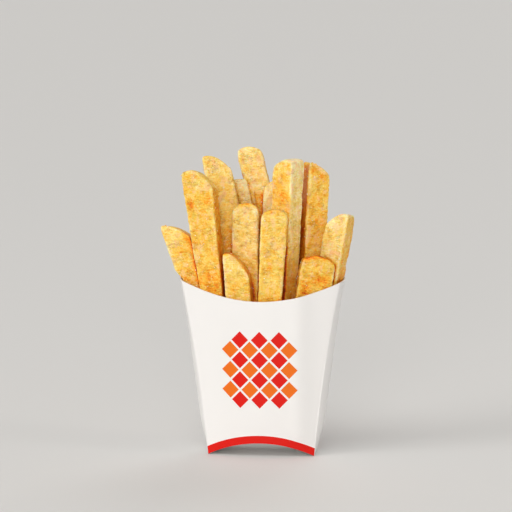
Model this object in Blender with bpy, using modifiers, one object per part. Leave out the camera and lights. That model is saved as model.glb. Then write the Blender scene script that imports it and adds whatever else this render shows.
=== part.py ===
"""French fries standing in an open paperboard carton.

Two solids: the carton, one folded and glued board with an open top, and the
bundle of fries that fills it. The carton faces -Y and stands on the lower
edges of its two side panels, because its bottom is pressed up into an arch.
"""

import math
from dataclasses import dataclass

import bmesh
import bpy
from mathutils import Matrix, Vector

MM = 0.001

# Carton, in metres
CORNER_HEIGHT = 85 * MM          # floor to the top ends of the four creases
TOP_HALF_WIDTH = 38 * MM         # middle of the front to a crease, at the rim
BOTTOM_HALF_WIDTH = 25.7 * MM    # the same at the floor
CREASE_INWARD_BOW = 1.2 * MM     # how far each crease bows in at mid height
TOP_HALF_DEPTH = 12 * MM         # half of a side panel's depth, at the rim
BOTTOM_HALF_DEPTH = 9 * MM
FACE_SWELL_TOP = 8 * MM          # front and back stand proud of the creases
FACE_SWELL_BOTTOM = 5 * MM
SIDE_SWELL_TOP = 1.5 * MM
SIDE_SWELL_MIDDLE = 2.7 * MM
FRONT_RIM_DIP = 8.6 * MM         # the front edge is cut in a shallow hollow
BACK_RIM_RISE = 8.5 * MM         # the back edge is cut in a low dome
BOTTOM_ARCH = 6.8 * MM
BOARD = 0.5 * MM

FACE_CELLS = 20
SIDE_CELLS = 6
HEIGHT_CELLS = 9

# Room inside, and the core that holds the fries together there
ROOM_INSET = 1 * MM              # board, clearance and the chords of the facets
NEXT_INSET = 0.012 * MM          # each fry's own addition, so that no two faces coincide
CORE_LIFT = 2.2 * MM             # the core's underside over the arch
CORE_TOP = 70 * MM
CORE_HUMP = 9 * MM
CORE_CELLS = 6

# Fries
FOOT_HEIGHT = 58 * MM            # where each modelled fry starts, in the core
RIM_HEIGHT = 80 * MM             # height at which rim_x and rim_y are given
LONG_EDGE = 1.9 * MM             # chamfer of the four long edges
CUT_LENGTH = 16 * MM             # a slanting end is drawn out over this length
TIP_LENGTH = 5 * MM              # the section narrows over this length
TIP_RING = 1.5 * MM              # last ring before the end
PRESSED_HEIGHTS = (70 * MM, 79 * MM, 86 * MM)
RIM_LEEWAY = 3 * MM              # a fry is also held in this far above the rim

CARTON_WHITE = (0.92, 0.89, 0.86, 1.0)
FRY_GOLD = (0.86, 0.53, 0.13, 1.0)


@dataclass
class Fry:
    """One fry: millimetres, degrees, and shares of its own section."""

    rim_x: float
    rim_y: float
    tip_x: float
    tip_y: float
    tip_z: float
    width: float = 12.5
    thickness: float = 9.5
    turn: float = 0.0      # about its length; positive shows its left side
    slant: float = 0.0     # the tip's right side stands this much higher
    rake: float = 0.0      # the tip's back stands this much higher
    bow: float = 0.0       # sideways bend to the right at mid length
    dome: float = 2.0      # the tip's left and right ends stand this much lower
    tip_share: float = 0.84
    taper: float = 0.0     # share of the width that is lost towards the foot


# Front row, against the front panel, from left to right
FRONT_ROW = (
    Fry(-22.8, -8.8, -29.9, -11.5, 137.4, width=15.2, thickness=10, turn=-9, slant=-8.0, rake=-2.5, dome=4.4,
        taper=0.38, tip_share=0.95),
    Fry(-10.3, -12.4, -11.6, -14.5, 97.3, width=12.2, thickness=9, turn=-1, slant=-11, rake=-1.5, dome=3.4,
        tip_share=0.93),
    Fry(5.0, -12.8, 7.4, -16.0, 120.6, width=13.0, thickness=9.5, turn=2, slant=0.6, rake=-1.5, dome=2.4,
        taper=0.2, tip_share=0.92),
    Fry(25.0, -8.9, 27.8, -11.0, 97.7, width=16.4, thickness=8.5, turn=10, slant=-0.5, rake=-2, dome=2.8,
        tip_share=0.96),
)
# Middle row
MIDDLE_ROW = (
    Fry(-31.8, -3.6, -41.8, -3.4, 109.4, width=12.8, thickness=10, turn=-6, slant=-8.5, rake=-2, bow=0.3,
        tip_share=0.95),
    Fry(-7.9, -3.4, -7.8, -5.0, 122.0, width=12.8, thickness=8.5, turn=2, slant=0.4, rake=-1.5, dome=2.8,
        tip_share=0.92),
    Fry(9.5, -1.2, 12.7, -2.0, 142.6, width=11.4, thickness=10.6, turn=-31, slant=3, rake=0, dome=1.7,
        tip_share=0.94),
    Fry(31.4, -1.4, 37.6, 0.2, 115.8, width=11.2, thickness=10.5, turn=-18, slant=6.5, rake=-1, dome=2.2,
        tip_share=0.93),
)
# Back row and the pieces that close the gaps behind it
BACK_ROW = (
    Fry(-10.4, 4.6, -23.7, 7.0, 141.9, width=13.2, thickness=8.5, turn=8, slant=-8.6, rake=-1.5, dome=3.0,
        tip_share=0.94),
    Fry(-2.0, 9.6, -15.0, 14.0, 130.4, width=12.0, thickness=7, slant=-1.6, rake=-1.5, dome=0.6,
        tip_share=0.97),
    Fry(8.0, 13.6, -8.9, 18.0, 146.0, width=12.2, thickness=8.5, turn=4, slant=-2, rake=-1, dome=1.9,
        tip_share=0.9),
    Fry(5.0, 7.2, 5.8, 7.6, 131.4, width=12.0, thickness=7, turn=-4, slant=2, rake=-1),
    Fry(9.2, 10.4, -1.5, 13.6, 125.6, width=9.0, thickness=7, turn=5, slant=-2, rake=-1, dome=0.4,
        tip_share=0.97),
    Fry(22.2, 8.4, 25.1, 8.4, 138.5, width=11.0, thickness=10.2, turn=23, slant=-6, rake=-1, dome=1.3,
        tip_share=0.96),
)
# Fries that only show from behind
HIDDEN_ROW = (
    Fry(-25.0, 8.8, -28.0, 13.0, 110, width=11.5, thickness=9, turn=14, slant=3, rake=-3),
    Fry(-16.5, 13.2, -21.0, 17.5, 122, width=12.0, thickness=8.5, turn=4, slant=-2, rake=-2),
    Fry(-5.0, 15.4, -8.0, 20.0, 114, width=11.5, thickness=6.5, slant=2, rake=-2),
    Fry(18.4, 13.0, 15.5, 18.0, 120, width=11.0, thickness=8, turn=-4, slant=3, rake=-2),
    Fry(29.0, 10.0, 31.5, 14.5, 105, width=11.0, thickness=7, turn=-14, slant=-3, rake=-2),
)
# Short ones in the gaps that the others leave at the rim
GAP_ROW = (
    Fry(-19.0, 1.6, -20.0, 2.0, 92, width=8.5, thickness=8.5, turn=20, slant=2),
    Fry(-33.0, 2.6, -34.0, 3.4, 88, width=7.5, thickness=6.5, turn=-14, slant=2),
    Fry(20.6, -0.8, 21.0, -1.0, 90, width=8.5, thickness=7.5, turn=10, slant=-2),
    Fry(1.0, -3.0, 1.0, -3.2, 91, width=7.5, thickness=9.0, turn=-8, slant=1),
    Fry(33.0, 4.4, 34.0, 4.8, 86, width=6.5, thickness=7.0, turn=16, slant=-1),
    Fry(-33.0, 7.4, -36.0, 9.0, 96, width=7.5, thickness=7.0, turn=16, slant=2),
    Fry(33.9, 8.4, 34.4, 8.9, 88, width=6.8, thickness=6.5, turn=-20, slant=-2),
)
ALL_FRIES = FRONT_ROW + MIDDLE_ROW + BACK_ROW + HIDDEN_ROW + GAP_ROW


def blend(low, high, share):
    """Value between two ends."""
    return low + (high - low) * share


def dome(across):
    """1 in the middle of a panel and 0 at its two creases."""
    return 1 - across * across


def crease_half_width(share):
    """Half of the front's width between its creases, at a share of the height."""
    straight = blend(BOTTOM_HALF_WIDTH, TOP_HALF_WIDTH, share)
    return straight - CREASE_INWARD_BOW * 4 * share * (1 - share)


def side_swell(share):
    """How far a side panel stands out at its middle, none at the floor."""
    opening = math.sin(math.pi / 2 * min(1, share / 0.25))
    return opening * blend(SIDE_SWELL_MIDDLE, SIDE_SWELL_TOP, max(0, 2 * share - 1))


def half_depth(share, across=1):
    """Half of the carton's depth, at a crease or further in across the front."""
    swell = blend(FACE_SWELL_BOTTOM, FACE_SWELL_TOP, share)
    return blend(BOTTOM_HALF_DEPTH, TOP_HALF_DEPTH, share) + swell * dome(across)


def half_width(share, along=1):
    """Half of the carton's width, at a crease or further in along a side."""
    return crease_half_width(share) + side_swell(share) * dome(along)


def face_point(across, height, side, inset):
    """Point of the front (side -1) or back (side 1) panel."""
    share = height / CORNER_HEIGHT
    out = half_depth(share, across) - inset
    return Vector((across * (half_width(share) - inset), side * out, height))


def side_point(along, height, side, inset):
    """Point of the left (side -1) or right (side 1) panel."""
    share = height / CORNER_HEIGHT
    out = half_width(share, along) - inset
    return Vector((side * out, along * (half_depth(share) - inset), height))


def bottom_edge(across):
    """Height of the bottom's arch."""
    return BOTTOM_ARCH * dome(across)


def front_rim(across):
    """Height of the front panel's upper edge."""
    return CORNER_HEIGHT - FRONT_RIM_DIP * dome(across)


def back_rim(across):
    """Height of the back panel's upper edge."""
    return CORNER_HEIGHT + BACK_RIM_RISE * dome(across)


def add_panel(mesh, cells_across, cells_up, place):
    """Add a grid whose two coordinates, each from -1 to 1, are put in place."""
    grid = bmesh.ops.create_grid(mesh, x_segments=cells_across, y_segments=cells_up, size=1)
    for vert in grid["verts"]:
        vert.co = place(vert.co.x, vert.co.y)


def add_walls(mesh, bottom, front_top, back_top, cells_up, inset=0):
    """Add the four upright panels between a bottom line and their tops."""
    def face(side, top):
        def place(across, up):
            height = blend(bottom(across), top(across), (up + 1) / 2)
            return face_point(across, height, side, inset)
        return place

    def flank(side):
        def place(along, up):
            height = blend(bottom(1), front_top(1), (up + 1) / 2)
            return side_point(along, height, side, inset)
        return place

    add_panel(mesh, FACE_CELLS, cells_up, face(-1, front_top))
    add_panel(mesh, FACE_CELLS, cells_up, face(1, back_top))
    add_panel(mesh, SIDE_CELLS, cells_up, flank(-1))
    add_panel(mesh, SIDE_CELLS, cells_up, flank(1))


def add_deck(mesh, line, hump, inset=0):
    """Add a panel that spans the four walls at the height of a line."""
    def place(across, along):
        edge = face_point(across, line(across), 1, inset)
        out = across * side_swell(edge.z / CORNER_HEIGHT) * dome(along)
        lift = hump * dome(across) * dome(along)
        return Vector((edge.x + out, along * edge.y, edge.z + lift))
    add_panel(mesh, FACE_CELLS, SIDE_CELLS, place)


def close_seams(mesh):
    """Join the panels along their creases and point all faces outwards."""
    bmesh.ops.remove_doubles(mesh, verts=mesh.verts, dist=0.02 * MM)
    bmesh.ops.recalc_face_normals(mesh, faces=mesh.faces)


def principled(name, colour, roughness):
    """A plain material."""
    material = bpy.data.materials.new(name)
    material.use_nodes = True
    shader = material.node_tree.nodes["Principled BSDF"]
    shader.inputs["Base Color"].default_value = colour
    shader.inputs["Roughness"].default_value = roughness
    return material


def new_object(name, mesh, collection):
    """Turn a bmesh into an object of a collection."""
    data = bpy.data.meshes.new(name)
    mesh.to_mesh(data)
    mesh.free()
    thing = bpy.data.objects.new(name, data)
    collection.objects.link(thing)
    return thing


def new_collection(name):
    """A collection of the scene."""
    collection = bpy.data.collections.new(name)
    bpy.context.scene.collection.children.link(collection)
    return collection


def make_carton(collection):
    """The board's outer side, given its thickness inwards."""
    mesh = bmesh.new()
    add_walls(mesh, bottom_edge, front_rim, back_rim, HEIGHT_CELLS)
    add_deck(mesh, bottom_edge, 0)
    close_seams(mesh)
    carton = new_object("carton", mesh, collection)
    board = carton.modifiers.new("board", "SOLIDIFY")
    board.thickness = BOARD
    board.offset = -1
    board.use_even_offset = True
    carton.data.materials.append(principled("coated_board", CARTON_WHITE, 0.35))
    return carton


def make_core(collection):
    """A closed body that follows the inside of the carton up to near the rim."""
    def bottom(across):
        return bottom_edge(across) + CORE_LIFT

    def top(across):
        return CORE_TOP

    mesh = bmesh.new()
    add_walls(mesh, bottom, top, top, CORE_CELLS, ROOM_INSET)
    add_deck(mesh, bottom, 0, ROOM_INSET)
    add_deck(mesh, top, CORE_HUMP, ROOM_INSET)
    close_seams(mesh)
    return new_object("fries", mesh, collection)


def press_inside(vert, inset):
    """Move a point of a fry that is below the rim to this side of the board."""
    rim = front_rim if vert.co.y < 0 else back_rim
    across = max(-1, min(1, vert.co.x / TOP_HALF_WIDTH))
    if vert.co.z > rim(across) + RIM_LEEWAY:
        return
    share = min(1, vert.co.z / CORNER_HEIGHT)
    along = max(-1, min(1, vert.co.y / half_depth(share)))
    widest = half_width(share, along) - inset
    vert.co.x = max(-widest, min(widest, vert.co.x))
    deepest = half_depth(share, vert.co.x / half_width(share)) - inset
    vert.co.y = max(-deepest, min(deepest, vert.co.y))


def slice_body(mesh, place, normal):
    """Add the edges where a plane cuts a closed body, without taking anything off."""
    everything = mesh.verts[:] + mesh.edges[:] + mesh.faces[:]
    bmesh.ops.bisect_plane(mesh, geom=everything, dist=0.01 * MM, plane_co=place, plane_no=normal)


def make_fry(number, fry, collection):
    """A cut bar: a box with chamfered long edges, a narrowed tip and a slight bend."""
    rim = Vector((fry.rim_x, fry.rim_y, RIM_HEIGHT / MM)) * MM
    tip = Vector((fry.tip_x, fry.tip_y, fry.tip_z)) * MM
    foot = rim + (tip - rim) * (FOOT_HEIGHT - rim.z) / (tip.z - rim.z)
    length = (tip - foot).length
    width = fry.width * MM
    thickness = fry.thickness * MM

    mesh = bmesh.new()
    box = Matrix.Diagonal((width, thickness, length, 1))
    bmesh.ops.create_cube(mesh, size=1, matrix=Matrix.Translation((0, 0, length / 2)) @ box)
    long_edges = [edge for edge in mesh.edges if edge.verts[0].co.z != edge.verts[1].co.z]
    bmesh.ops.bevel(mesh, geom=long_edges, offset=LONG_EDGE, segments=1, affect="EDGES")
    for side in (-1, 1):
        slice_body(mesh, (side * (width / 2 - LONG_EDGE), 0, 0), (1, 0, 0))
    for below_end in (CUT_LENGTH, TIP_LENGTH, TIP_RING):
        slice_body(mesh, (0, 0, length - below_end), (0, 0, 1))

    for vert in mesh.verts:
        bend = math.sin(math.pi * vert.co.z / length)
        near_cut = max(0, 1 - (length - vert.co.z) / CUT_LENGTH)
        near_tip = max(0, 1 - (length - vert.co.z) / TIP_LENGTH)
        narrowed = 1 - (1 - fry.tip_share) * near_tip ** 2
        tapered = 1 - fry.taper * (1 - vert.co.z / length)
        right = vert.co.x / width
        back = vert.co.y / thickness
        tilt = fry.slant * right + fry.rake * back - fry.dome * 4 * right * right
        vert.co.x = vert.co.x * narrowed * tapered + fry.bow * MM * bend
        vert.co.y *= narrowed
        vert.co.z += tilt * MM * near_cut

    along = (tip - foot).normalized()
    across = (Vector((1, 0, 0)) - along * along.x).normalized()
    frame = Matrix((across, along.cross(across), along)).transposed().to_4x4()
    turn = Matrix.Rotation(math.radians(fry.turn), 4, "Z")
    mesh.transform(Matrix.Translation(foot) @ frame @ turn)

    rim_line = front_rim if fry.rim_y < 0 else back_rim
    rim_height = rim_line(fry.rim_x * MM / TOP_HALF_WIDTH) + ROOM_INSET
    for height in PRESSED_HEIGHTS + (rim_height,):
        slice_body(mesh, (0, 0, height), (0, 0, 1))
    for vert in mesh.verts:
        press_inside(vert, ROOM_INSET + number * NEXT_INSET)
    return new_object(f"fry_{number}", mesh, collection)


def keep_outer_shell(mesh):
    """Delete everything but the largest connected shell."""
    shells = []
    seen = set()
    for start in mesh.verts:
        if start in seen:
            continue
        shell = [start]
        seen.add(start)
        for vert in shell:
            for edge in vert.link_edges:
                other = edge.other_vert(vert)
                if other not in seen:
                    seen.add(other)
                    shell.append(other)
        shells.append(shell)
    largest = max(shells, key=len)
    loose = [vert for shell in shells if shell is not largest for vert in shell]
    bmesh.ops.delete(mesh, geom=loose, context="VERTS")


def make_fries(collection):
    """The bundle: every fry joined to the core by one union."""
    core = make_core(collection)
    pieces = new_collection("fry_pieces")
    for number, fry in enumerate(ALL_FRIES, start=1):
        make_fry(number, fry, pieces)
    union = core.modifiers.new("join", "BOOLEAN")
    union.operation = "UNION"
    union.operand_type = "COLLECTION"
    union.collection = pieces
    union.solver = "MANIFOLD"
    bpy.context.view_layer.update()
    joined = bpy.data.meshes.new_from_object(core.evaluated_get(bpy.context.evaluated_depsgraph_get()))
    core.modifiers.remove(union)
    for piece in list(pieces.objects):
        bpy.data.objects.remove(piece)
    bpy.data.collections.remove(pieces)

    mesh = bmesh.new()
    mesh.from_mesh(joined)
    bpy.data.meshes.remove(joined)
    bmesh.ops.remove_doubles(mesh, verts=mesh.verts, dist=0.01 * MM)
    bmesh.ops.dissolve_degenerate(mesh, edges=mesh.edges, dist=0.01 * MM)
    keep_outer_shell(mesh)
    bmesh.ops.triangulate(mesh, faces=mesh.faces)
    mesh.to_mesh(core.data)
    mesh.free()
    core.data.materials.append(principled("fried_potato", FRY_GOLD, 0.55))
    return core


def centre_on_floor(parts):
    """Move the parts together so that the middle of their box is over the origin."""
    bpy.context.view_layer.update()
    corners = [part.matrix_world @ Vector(corner) for part in parts for corner in part.bound_box]
    for axis in (0, 1):
        values = [corner[axis] for corner in corners]
        middle = (min(values) + max(values)) / 2
        for part in parts:
            part.location[axis] -= middle


def main():
    """Clear the scene and make both parts."""
    for thing in list(bpy.data.objects):
        bpy.data.objects.remove(thing)
    collection = new_collection("fries_in_carton")
    centre_on_floor([make_carton(collection), make_fries(collection)])


main()
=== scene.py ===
"""French fries standing in an open paperboard carton.

The carton and the fries are built here in full detail, from the same sizes as
the solids that they stand for, and dusted with salt and crumbs.
"""

from __future__ import annotations

import logging
import math
from dataclasses import dataclass
from enum import Enum
from itertools import product
from typing import Any, Callable, Iterable, Sequence

import bmesh
import bpy
import numpy as np
from mathutils import Matrix, Vector


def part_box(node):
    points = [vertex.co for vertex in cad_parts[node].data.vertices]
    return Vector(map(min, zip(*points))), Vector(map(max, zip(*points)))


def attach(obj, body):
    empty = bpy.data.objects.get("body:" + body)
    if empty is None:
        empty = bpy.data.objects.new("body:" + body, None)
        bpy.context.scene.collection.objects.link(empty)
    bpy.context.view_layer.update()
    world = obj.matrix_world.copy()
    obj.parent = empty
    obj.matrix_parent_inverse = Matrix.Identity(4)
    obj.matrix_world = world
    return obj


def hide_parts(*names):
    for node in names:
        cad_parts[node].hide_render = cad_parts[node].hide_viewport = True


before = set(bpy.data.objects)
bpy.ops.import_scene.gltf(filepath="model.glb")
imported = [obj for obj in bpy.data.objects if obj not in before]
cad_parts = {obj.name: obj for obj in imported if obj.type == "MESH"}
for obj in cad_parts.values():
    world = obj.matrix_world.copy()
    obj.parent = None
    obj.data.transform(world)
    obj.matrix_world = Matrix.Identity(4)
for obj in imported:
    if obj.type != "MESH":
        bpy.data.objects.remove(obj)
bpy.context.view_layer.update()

MM = 0.001
SQUARE_CENTIMETRES = 1e4
BODY = "root"

log = logging.getLogger("fries")

Colour = tuple[float, float, float, float]


def srgb(red: int, green: int, blue: int) -> Colour:
    """Linear colour of a display colour given from 0 to 255."""
    def linear(value: int) -> float:
        """Linear share of one channel."""
        share = value / 255
        return share / 12.92 if share <= 0.04045 else ((share + 0.055) / 1.055) ** 2.4
    return (linear(red), linear(green), linear(blue), 1.0)


# Random but repeatable unevenness

LATTICE_PRIMES = (73856093, 19349663, 83492791)
SEED_PRIME = 15485863
MIXER = 1274126177
WORD = 0x7FFFFFFF


def lattice_noise(points: np.ndarray, seed: int) -> np.ndarray:
    """Smooth random values, one for each point.

    Args:
        points: Positions in lattice cells, one row each.
        seed: Which of the random fields to read.

    Returns:
        Values from -1 to 1.
    """
    cell = np.floor(points).astype(np.int64)
    ease = points - cell
    ease = ease * ease * (3 - 2 * ease)
    total = np.zeros(len(points))
    for corner in product((0, 1), repeat=3):
        at = cell + corner
        mixed = np.full(len(points), seed * SEED_PRIME, np.int64)
        for axis, prime in enumerate(LATTICE_PRIMES):
            mixed ^= at[:, axis] * prime
        mixed = (mixed ^ (mixed >> 13)) & WORD
        mixed = (mixed * MIXER) & WORD
        value = (mixed >> 15) / (WORD >> 16) - 1
        total += value * np.where(corner, ease, 1 - ease).prod(axis=1)
    return total


def layered_noise(points: np.ndarray, seed: int, layers: int = 2) -> np.ndarray:
    """Lattice noise with finer and fainter layers on top.

    Args:
        points: Positions in lattice cells, one row each.
        seed: Which of the random fields to read.
        layers: How many layers are summed.

    Returns:
        Values of about -1 to 1.
    """
    total = np.zeros(len(points))
    for layer in range(layers):
        total += lattice_noise(points * 2.1 ** layer + 7.3 * layer, seed + layer) / 2 ** layer
    return total / (2 - 2 ** (1 - layers))


def smooth_share(value: np.ndarray, low: float, high: float) -> np.ndarray:
    """Share from 0 at low to 1 at high, with soft ends."""
    share = np.clip((value - low) / (high - low), 0, 1)
    return share * share * (3 - 2 * share)


# Node trees written as sums

class Number:
    """A number of a node tree, for use in Python sums."""

    def __init__(self, sheet: "NodeSheet", socket: bpy.types.NodeSocket) -> None:
        """Keep the tree and the socket that gives the number."""
        self.sheet = sheet
        self.socket = socket

    def _sum(self, operation: str, first: Any, second: Any = 0.0) -> "Number":
        """One Math node on two values."""
        node = self.sheet.node("ShaderNodeMath", {"operation": operation}, {0: first, 1: second})
        return Number(self.sheet, node.outputs[0])

    def __add__(self, other: Any) -> "Number":
        """Sum."""
        return self._sum("ADD", self, other)

    def __radd__(self, other: Any) -> "Number":
        """Sum with the number on the right."""
        return self._sum("ADD", other, self)

    def __sub__(self, other: Any) -> "Number":
        """Difference."""
        return self._sum("SUBTRACT", self, other)

    def __rsub__(self, other: Any) -> "Number":
        """Difference from a plain value."""
        return self._sum("SUBTRACT", other, self)

    def __mul__(self, other: Any) -> "Number":
        """Product."""
        return self._sum("MULTIPLY", self, other)

    def __rmul__(self, other: Any) -> "Number":
        """Product with the number on the right."""
        return self._sum("MULTIPLY", other, self)

    def __truediv__(self, other: Any) -> "Number":
        """Quotient."""
        return self._sum("DIVIDE", self, other)

    def __abs__(self) -> "Number":
        """Size without sign."""
        return self._sum("ABSOLUTE", self)

    def __mod__(self, other: Any) -> "Number":
        """Remainder that is never negative."""
        return self._sum("FLOORED_MODULO", self, other)

    def below(self, limit: Any) -> "Number":
        """1 where the number is less than the limit, 0 elsewhere."""
        return self._sum("LESS_THAN", self, limit)

    def above(self, limit: Any) -> "Number":
        """1 where the number is more than the limit, 0 elsewhere."""
        return self._sum("GREATER_THAN", self, limit)

    def share(self, low: float, high: float) -> "Number":
        """Share from 0 at low to 1 at high, with soft ends."""
        node = self.sheet.node(
            "ShaderNodeMapRange", {"interpolation_type": "SMOOTHSTEP"},
            {"Value": self, "From Min": low, "From Max": high})
        return Number(self.sheet, node.outputs["Result"])


class NodeSheet:
    """A node tree that is filled by calls and sums."""

    def __init__(self, tree: bpy.types.NodeTree) -> None:
        """Keep the tree."""
        self.tree = tree

    def node(self, kind: str, settings: dict[str, Any], inputs: dict[int | str, Any]) -> bpy.types.Node:
        """Add one node.

        Args:
            kind: The node's type.
            settings: Its own values, set first; "stops" are a ramp's places and colours.
            inputs: Values or links for its sockets, by name or place.

        Returns:
            The node.
        """
        made = self.tree.nodes.new(kind)
        for name, value in settings.items():
            if name == "stops":
                self._set_stops(made.color_ramp, value)
            else:
                setattr(made, name, value)
        for place, value in inputs.items():
            self.fill(made.inputs[place], value)
        return made

    def fill(self, socket: bpy.types.NodeSocket, value: Any) -> None:
        """Link a socket, or set its value."""
        if isinstance(value, Number):
            self.tree.links.new(value.socket, socket)
        elif isinstance(value, bpy.types.NodeSocket):
            self.tree.links.new(value, socket)
        else:
            socket.default_value = value

    @staticmethod
    def _set_stops(ramp: bpy.types.ColorRamp, stops: Sequence[tuple[float, Colour]]) -> None:
        """Give a colour ramp its stops."""
        while len(ramp.elements) < len(stops):
            ramp.elements.new(1.0)
        for element, (place, colour) in zip(ramp.elements, stops):
            element.position = place
            element.color = colour

    def attribute(self, name: str) -> Number:
        """A number that the mesh carries."""
        return Number(self, self.node("ShaderNodeAttribute", {"attribute_name": name}, {}).outputs["Fac"])


class Paint(NodeSheet):
    """The node tree of one material."""

    def __init__(self, name: str) -> None:
        """Make the material with its shader."""
        self.material = bpy.data.materials.new(name)
        self.material.use_nodes = True
        super().__init__(self.material.node_tree)
        self.shader = self.tree.nodes["Principled BSDF"]

    def noise(self, cell: float, detail: float = 2.0,
              stretch: tuple[float, float, float] = (1, 1, 1)) -> Number:
        """Random number from 0 to 1 that varies over the piece.

        Args:
            cell: Size of its patches in millimetres.
            detail: How many finer layers it has.
            stretch: Density along each axis.

        Returns:
            The number.
        """
        place = self.node("ShaderNodeTexCoord", {}, {}).outputs["Object"]
        scaled = self.node("ShaderNodeMapping", {}, {"Vector": place, "Scale": stretch}).outputs[0]
        made = self.node(
            "ShaderNodeTexNoise", {}, {"Vector": scaled, "Scale": 1 / (cell * MM), "Detail": detail})
        return Number(self, made.outputs[0])

    def mix(self, share: Any, first: Any, second: Any) -> bpy.types.NodeSocket:
        """Colour between two colours."""
        made = self.node("ShaderNodeMix", {"data_type": "RGBA"}, {0: share, 6: first, 7: second})
        return made.outputs[2]

    def ramp(self, place: Number, stops: Sequence[tuple[float, Colour]]) -> bpy.types.NodeSocket:
        """Colour read from a row of stops."""
        return self.node("ShaderNodeValToRGB", {"stops": stops}, {0: place}).outputs[0]

    def relief(self, height: Number, depth: float) -> None:
        """Fine unevenness of the surface; depth in millimetres."""
        bump = self.node("ShaderNodeBump", {}, {"Height": height, "Distance": depth * MM, "Strength": 1.0})
        self.tree.links.new(bump.outputs[0], self.shader.inputs["Normal"])

    def set(self, **values: Any) -> None:
        """Give the shader's sockets their values or links; an underscore stands for a space."""
        for name, value in values.items():
            self.fill(self.shader.inputs[name.replace("_", " ")], value)


# Finishes

@dataclass(frozen=True)
class PrintSizes:
    """The print on the front and back panels, in millimetres."""

    band_width: float = 3.8
    columns: int = 4
    rows: int = 4
    cell_width: float = 9.4
    cell_height: float = 9.8
    middle_height: float = 43.0
    filled: float = 0.86


@dataclass(frozen=True)
class BoardFinish:
    """Paperboard: clay-coated outside, plain inside, fibrous where it is cut."""

    white: Colour = srgb(232, 230, 228)
    inner: Colour = srgb(226, 219, 206)
    cut: Colour = srgb(233, 222, 205)
    red: Colour = srgb(214, 20, 6)
    orange: Colour = srgb(228, 108, 18)
    sheen: float = 0.42
    printing: PrintSizes = PrintSizes()

    def _coated(self, name: str) -> Paint:
        """Paint with the coating's gloss and its faint unevenness."""
        paint = Paint(name)
        paint.set(Specular_IOR_Level=0.22, Coat_Weight=0.0, Coat_Roughness=0.42)
        cloud = paint.noise(14.0, 3.0)
        paint.set(Roughness=self.sheen + (cloud - 0.5) * 0.12)
        paint.relief(paint.noise(0.55, 3.0) + paint.noise(6.0, 2.0) * 1.5, 0.018)
        return paint

    def plain(self) -> bpy.types.Material:
        """The coated side where nothing is printed."""
        paint = self._coated("coated_board_plain")
        cloud = paint.noise(9.0, 3.0)
        paint.set(Base_Color=paint.mix(cloud * 0.06, self.white, self.inner), Coat_Weight=0.9)
        return paint.material

    def printed(self) -> bpy.types.Material:
        """The coated side with its band and its field of diamonds."""
        paint = self._coated("coated_board_printed")
        sizes = self.printing
        cloud = paint.noise(9.0, 3.0)
        board = paint.mix(cloud * 0.06, self.white, self.inner)

        across = paint.attribute("print_across")
        up = paint.attribute("print_up") - sizes.middle_height
        half_across = sizes.columns * sizes.cell_width / 2
        half_up = sizes.rows * sizes.cell_height / 2
        rising = across / sizes.cell_width + up / sizes.cell_height
        falling = up / sizes.cell_height - across / sizes.cell_width
        stripe = rising - rising % 1.0
        other_stripe = falling - falling % 1.0
        middle_across = abs(stripe - other_stripe) * (sizes.cell_width / 2)
        middle_up = abs(stripe + other_stripe + 1.0) * (sizes.cell_height / 2)
        whole = middle_across.below(half_across - sizes.cell_width * 0.4) * middle_up.below(
            half_up - sizes.cell_height * 0.4)
        diamond = (whole * abs(rising % 1.0 - 0.5).below(sizes.filled / 2)
                   * abs(falling % 1.0 - 0.5).below(sizes.filled / 2))
        ink = paint.mix(((stripe + other_stripe) % 2.0).above(0.5), self.red, self.orange)
        colour = paint.mix(diamond, board, ink)

        band = paint.attribute("print_above_edge").below(sizes.band_width)
        colour = paint.mix(band, colour, self.red)
        paint.set(Base_Color=colour, Coat_Weight=(1 - diamond) * (1 - band) * 0.9)
        return paint.material

    def inside(self) -> bpy.types.Material:
        """The uncoated inner side."""
        paint = Paint("uncoated_board")
        fibres = paint.noise(0.8, 4.0, (1, 1, 0.35))
        paint.set(Base_Color=paint.mix(fibres * 0.5, self.inner, self.white), Roughness=0.75)
        paint.relief(fibres, 0.03)
        return paint.material

    def cut_edge(self) -> bpy.types.Material:
        """The edge that shows where the board is cut."""
        paint = Paint("cut_board")
        fibres = paint.noise(0.3, 3.0)
        paint.set(Base_Color=paint.mix(fibres * 0.6, self.cut, self.inner), Roughness=0.8)
        paint.relief(fibres, 0.04)
        return paint.material


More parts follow.
